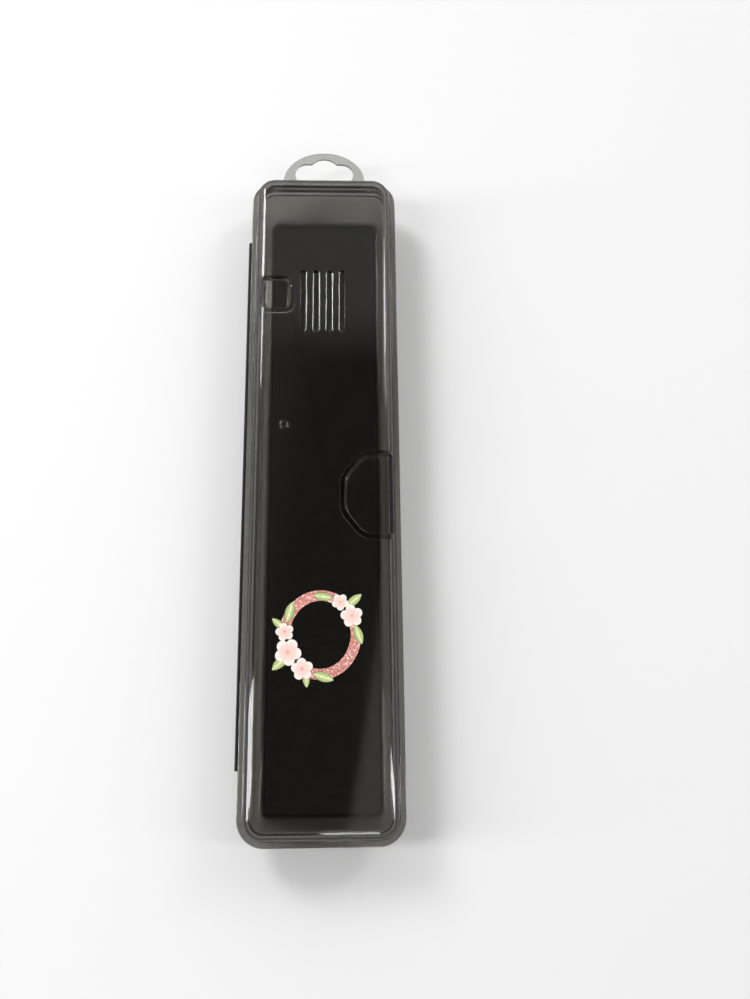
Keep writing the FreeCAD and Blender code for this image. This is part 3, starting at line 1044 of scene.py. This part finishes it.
def tab_plastic(finish):
    return see_through(
        "frosted_tab", finish.tab, finish.tab_density, finish.tab_shadow,
        polish=0.30, smudge=0.15, ior=1.45)


def folded_plastic(finish):
    """The strip is the same smoky plastic, folded on itself, so it reads as nearly black."""
    material, tree, shader, _ = fresh_material("folded_strip", IOR=1.49, Specular_IOR_Level=0.2)
    handled(tree, shader, polish=0.38, smudge=0.2)
    strain = noise(tree, own_place(tree), scale=420.0, detail=3.0, roughness=0.6)
    tone = ramp(tree, strain, [(0.35, finish.hinge), (0.8, toned(finish.hinge, 2.6))])
    give(tree, shader.inputs["Base Color"], tone)
    return material


def glitter_vinyl(finish):
    """Flakes about a third of a millimetre wide: each cell has its own tone, tilt and gloss."""
    material, tree, shader, _ = fresh_material("glitter_film", IOR=1.5)
    flakes = add(tree, "TexVoronoi", Vector=own_place(tree), Scale=3300.0).outputs["Color"]
    parts = add(tree, "SeparateColor", Color=flakes).outputs
    tone = ramp(tree, parts["Red"], [
        (0.0, finish.glitter_dark),
        (0.18, toned(finish.glitter, 0.75)),
        (0.5, finish.glitter),
        (0.78, toned(finish.glitter, 1.25)),
        (0.9, finish.glitter_light),
        (1.0, finish.glitter_light),
    ])
    give(tree, shader.inputs["Base Color"], tone)
    give(tree, shader.inputs["Roughness"], eased(tree, parts["Green"], 0.22, 0.6))
    tilt_range = (0.5, 0.5, 0.5)
    tilt_start = (-0.25, -0.25, -0.25)
    tilt = computed(tree, "VectorMath", "MULTIPLY_ADD", flakes, tilt_range, tilt_start)["Vector"]
    level = add(tree, "NewGeometry").outputs["Normal"]
    leaning = computed(tree, "VectorMath", "ADD", level, tilt)["Vector"]
    give(tree, shader.inputs["Normal"], computed(tree, "VectorMath", "NORMALIZE", leaning)["Vector"])
    return material


def printed(name):
    """A printed vinyl: gives it, its nodes, its shader, the wash and the piece's two flat coordinates."""
    material, tree, shader, _ = fresh_material(name, IOR=1.45)
    wash = finished(tree, shader, "printed vinyl", printed_vinyl, 0.4, 0.01 * MM)["Wash"]
    flat = tree.nodes.new("ShaderNodeUVMap")
    flat.uv_map = "painted"
    parts = add(tree, "SeparateXYZ", Vector=flat.outputs["UV"]).outputs
    return material, tree, shader, wash, parts["X"], parts["Y"]


def from_middle(tree, part):
    """How far a flat coordinate is from the middle of its range."""
    return maths(tree, "ABSOLUTE", maths(tree, "SUBTRACT", part, 0.5))


def petal_print(finish):
    """Washed petals: deep at the heart, pale towards the rim, with a fold line between petals."""
    material, tree, shader, wash, within, out = printed("blossom_film")
    reach = maths(tree, "ADD", out, eased(tree, wash, -0.22, 0.22))
    body = ramp(tree, reach, [
        (0.04, finish.petal_heart),
        (0.24, finish.petal),
        (0.55, toned(finish.petal, 1.02)),
        (0.95, finish.petal_rim),
    ])
    edge = maths(tree, "ADD", from_middle(tree, within), eased(tree, wash, -0.10, 0.10))
    fold = ramp(tree, edge, [(0.36, (0.0, 0.0, 0.0)), (0.5, (0.75, 0.75, 0.75))])
    crease = tuple(0.5 * (a + b) for a, b in zip(finish.petal_heart, finish.petal))
    give(tree, shader.inputs["Base Color"], mixed(tree, fold, body, (*crease, 1.0)))
    return material


def leaf_print(finish):
    """Washed leaves: a pale midrib and slanting veins."""
    material, tree, shader, wash, across, along = printed("leaf_film")
    vein_count = 34.0
    vein_slant = 30.0
    from_rib = from_middle(tree, across)
    back = maths(tree, "MULTIPLY", from_rib, vein_slant)
    slant = maths(tree, "SUBTRACT", maths(tree, "MULTIPLY", along, vein_count), back)
    veins = eased(tree, maths(tree, "SINE", slant), -0.05, 0.06)
    pale = maths(tree, "ADD", maths(tree, "ADD", from_rib, veins), eased(tree, wash, -0.16, 0.16))
    body = ramp(tree, pale, [
        (0.03, finish.leaf_rib),
        (0.12, toned(finish.leaf, 1.1)),
        (0.34, finish.leaf),
        (0.5, toned(finish.leaf, 0.6)),
    ])
    give(tree, shader.inputs["Base Color"], body)
    return material


def floor_paper(stage):
    """Matt white card with a hardly visible grain, which turns plain white far from the case."""
    material, tree, shader, leave = fresh_material("floor_card", Roughness=1.0, Specular_IOR_Level=0.0)
    where = own_place(tree)
    grain = noise(tree, where, scale=140.0, detail=4.0, roughness=0.6)
    tone = ramp(tree, grain, [(0.3, toned(stage.floor, 0.995)), (0.7, stage.floor)])
    give(tree, shader.inputs["Base Color"], tone)
    away = computed(tree, "VectorMath", "LENGTH", where)["Value"]
    white_at = 3.0 * stage.white_from
    far_off = eased(tree, away, 0.0, 1.0, stage.white_from, white_at)
    white = maths(tree, "MULTIPLY", far_off, maths(tree, "MAXIMUM", *seen_rays(tree)))
    glow = add(tree, "Emission", Strength=1.0)
    give(tree, leave.inputs["Surface"], either(tree, white, shader, glow))
    return material


# Stage

def sky(stage):
    """A plain room, brightest low on the far side, white to the camera and white low down in the plastic.

    Overhead it is dark in a strip along the case, which leans to the right, and paler on both sides of it.
    """
    world = bpy.data.worlds.new("room")
    world.use_nodes = True
    tree = world.node_tree
    tree.nodes.clear()
    # Ranges over which the room changes, by how far aside, ahead or up a line of sight goes
    right_edge = (0.016, 0.024)
    left_edge = (-0.15, -0.09)
    ceiling_edge = (0.44, 0.52)
    far_edge = (0.15, 0.65)
    overhead_edge = (0.66, 0.80)
    horizon_edge = (0.2, 0.35)
    least_rise = 0.05
    x, y, z = add(tree, "SeparateXYZ", Vector=add(tree, "TexCoord").outputs["Generated"]).outputs
    rise = maths(tree, "MAXIMUM", z, least_rise)
    ahead = maths(tree, "DIVIDE", y, rise)
    lean = maths(tree, "MULTIPLY", ahead, stage.sky_lean)
    aside = maths(tree, "SUBTRACT", maths(tree, "DIVIDE", x, rise), lean)
    right = eased(tree, aside, stage.high_sky, stage.high_sky + stage.right_sky, *right_edge)
    left = eased(tree, aside, stage.left_sky, 0.0, *left_edge)
    ceiling = eased(tree, ahead, 0.0, stage.far_ceiling, *ceiling_edge)
    overhead = maths(tree, "MAXIMUM", maths(tree, "ADD", left, right), ceiling)
    far = eased(tree, y, stage.low_sky, stage.low_sky + stage.far_sky, *far_edge)
    low_part = maths(tree, "MULTIPLY", far, eased(tree, z, 1.0, 0.0, *overhead_edge))
    high_part = maths(tree, "MULTIPLY", overhead, eased(tree, z, 0.0, 1.0, *overhead_edge))
    direct, mirrored = seen_rays(tree)
    horizon = maths(tree, "MULTIPLY", mirrored, eased(tree, z, 1.0, 0.0, *horizon_edge))
    white = maths(tree, "MAXIMUM", direct, horizon)
    tone = maths(tree, "MAXIMUM", maths(tree, "ADD", low_part, high_part), white)
    shine = add(tree, "Background", Color=(1.0, 1.0, 1.0, 1.0), Strength=tone)
    add(tree, "OutputWorld", Surface=shine.outputs[0])
    return world


def lamp(name, position, extent, radiance):
    """A rectangular lamp that faces the case; its power is its radiance times its area and pi."""
    light = bpy.data.lights.new(name, "AREA")
    light.shape = "RECTANGLE"
    light.size, light.size_y = extent
    light.energy = radiance * math.pi * extent[0] * extent[1]
    holder = linked(name, light)
    holder.location = position
    holder.rotation_euler = (-Vector(position)).to_track_quat("-Z", "Y").to_euler()


def picture_camera(stage):
    """A camera that looks down at the case, turned to the side and about its line of sight."""
    ahead = Vector((0.0, math.cos(stage.elevation), -math.sin(stage.elevation)))
    right = Vector((1.0, 0.0, 0.0))
    up = right.cross(ahead)
    c, s = math.cos(stage.yaw), math.sin(stage.yaw)
    right, ahead = c * right - s * ahead, s * right + c * ahead
    c, s = math.cos(stage.roll), math.sin(stage.roll)
    right, up = c * right + s * up, -s * right + c * up
    camera = bpy.data.cameras.new("picture")
    camera.sensor_width = 36.0
    camera.lens = stage.focal / PICTURE_HEIGHT * camera.sensor_width
    camera.clip_start = 10.0 * MM
    holder = linked("picture", camera)
    turn = Matrix((right, up, -ahead)).transposed().to_4x4()
    holder.matrix_world = Matrix.Translation(Vector(stage.position)) @ turn
    bpy.context.scene.camera = holder


# Operators

class BRUSHCASE_OT_base(bpy.types.Operator):
    """Builds the base tray with its lip and catch bead"""
    bl_idname = "brush_case.base"
    bl_label = "Base tray"

    def execute(self, context):
        scene = context.scene
        piece = smooth(base_tray(scene.case_form, scene.lid_openings), 35.0, keep_flats=True)
        dressed(piece, "base_shell", "base", "smoky_case", smoky_plastic(scene.case_finishes), "base_tray")
        return {"FINISHED"}


class BRUSHCASE_OT_lid(bpy.types.Operator):
    """Builds the lid with its vents, port, thumb recess and lip rebate"""
    bl_idname = "brush_case.lid"
    bl_label = "Lid"

    def execute(self, context):
        scene = context.scene
        piece = smooth(lid_shell(scene.case_form, scene.lid_openings), 35.0, keep_flats=True)
        material = bpy.data.materials["smoky_moulding"]
        dressed(piece, "lid_cover", "lid", "smoky_case", material, "lid_shell")
        return {"FINISHED"}


class BRUSHCASE_OT_hinge(bpy.types.Operator):
    """Builds the folded hinge strip that joins the base and the lid"""
    bl_idname = "brush_case.hinge"
    bl_label = "Hinge strip"

    def execute(self, context):
        scene = context.scene
        hinge = scene.hinge_form
        piece = smooth(hinge_strip(scene.case_form, hinge), 40.0)
        piece.name = "hinge_fold"
        coated(piece, folded_plastic(scene.case_finishes))
        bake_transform(piece)
        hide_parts("hinge_strip")
        return {"FINISHED"}


class BRUSHCASE_OT_tab(bpy.types.Operator):
    """Gives the hang tab its frosted plastic"""
    bl_idname = "brush_case.tab"
    bl_label = "Hang tab"

    def execute(self, context):
        coated(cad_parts["hang_tab"], tab_plastic(context.scene.case_finishes))
        return {"FINISHED"}


class BRUSHCASE_OT_decal(bpy.types.Operator):
    """Dresses the decal: a glitter ring with washed blossoms and leaves"""
    bl_idname = "brush_case.decal"
    bl_label = "Decal"

    def execute(self, context):
        form = context.scene.case_form
        decal = context.scene.decal_form
        finish = context.scene.case_finishes
        coated(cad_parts["decal_ring"], glitter_vinyl(finish))
        flowers = [blossom_rows(form, decal, degrees, radius * MM) for degrees, radius in BLOSSOMS]
        piece = painted_sheets("blossoms", flowers, True)
        dressed(piece, "blossoms", "lid", "blossom_print", petal_print(finish), "decal_blossoms")
        greens = [leaf_rows(form, decal, degrees, way, length * MM) for degrees, way, length in LEAVES]
        piece = painted_sheets("leaves", greens, False)
        dressed(piece, "leaves", "lid", "leaf_print", leaf_print(finish), "decal_leaves")
        return {"FINISHED"}


class BRUSHCASE_OT_stage(bpy.types.Operator):
    """Sets up the floor, the light and the camera"""
    bl_idname = "brush_case.stage"
    bl_label = "Stage"

    def execute(self, context):
        scene = context.scene
        stage = scene.case_stage
        half = stage.floor_size / 2
        side = np.array([-half, half])
        floor = mesh_piece("floor", together(side, side[:, None], 0.0), [[0, 1, 3, 2]])
        coated(floor, floor_paper(stage))
        scene.world = sky(stage)
        for name, (position, extent, radiance) in LAMPS.items():
            lamp(name, position, extent, radiance * stage.light)
        picture_camera(stage)
        scene.view_settings.view_transform = "Standard"
        return {"FINISHED"}


class BRUSHCASE_PT_pieces(bpy.types.Panel):
    """Lists the case's pieces"""
    bl_idname = "BRUSHCASE_PT_pieces"
    bl_label = "Brush case"
    bl_space_type = "VIEW_3D"
    bl_region_type = "UI"
    bl_category = "Brush case"

    def draw(self, context):
        for operator in OPERATORS:
            self.layout.operator(operator.bl_idname)
        for name, group in GROUPS.items():
            box = self.layout.box()
            box.label(text=group.__doc__)
            for prop in group.__annotations__:
                box.prop(getattr(context.scene, name), prop)


OPERATORS = (
    BRUSHCASE_OT_stage,
    BRUSHCASE_OT_base,
    BRUSHCASE_OT_lid,
    BRUSHCASE_OT_hinge,
    BRUSHCASE_OT_tab,
    BRUSHCASE_OT_decal,
)


def register():
    for name, group in GROUPS.items():
        bpy.utils.register_class(group)
        setattr(bpy.types.Scene, name, bpy.props.PointerProperty(type=group))
    for operator in OPERATORS:
        bpy.utils.register_class(operator)
    bpy.utils.register_class(BRUSHCASE_PT_pieces)


def unregister():
    bpy.utils.unregister_class(BRUSHCASE_PT_pieces)
    for operator in reversed(OPERATORS):
        bpy.utils.unregister_class(operator)
    for name, group in reversed(GROUPS.items()):
        delattr(bpy.types.Scene, name)
        bpy.utils.unregister_class(group)


def main():
    register()
    bpy.ops.brush_case.stage()
    bpy.ops.brush_case.base()
    bpy.ops.brush_case.lid()
    bpy.ops.brush_case.hinge()
    bpy.ops.brush_case.tab()
    bpy.ops.brush_case.decal()
    bpy.context.view_layer.update()


if __name__ == "__main__":
    main()
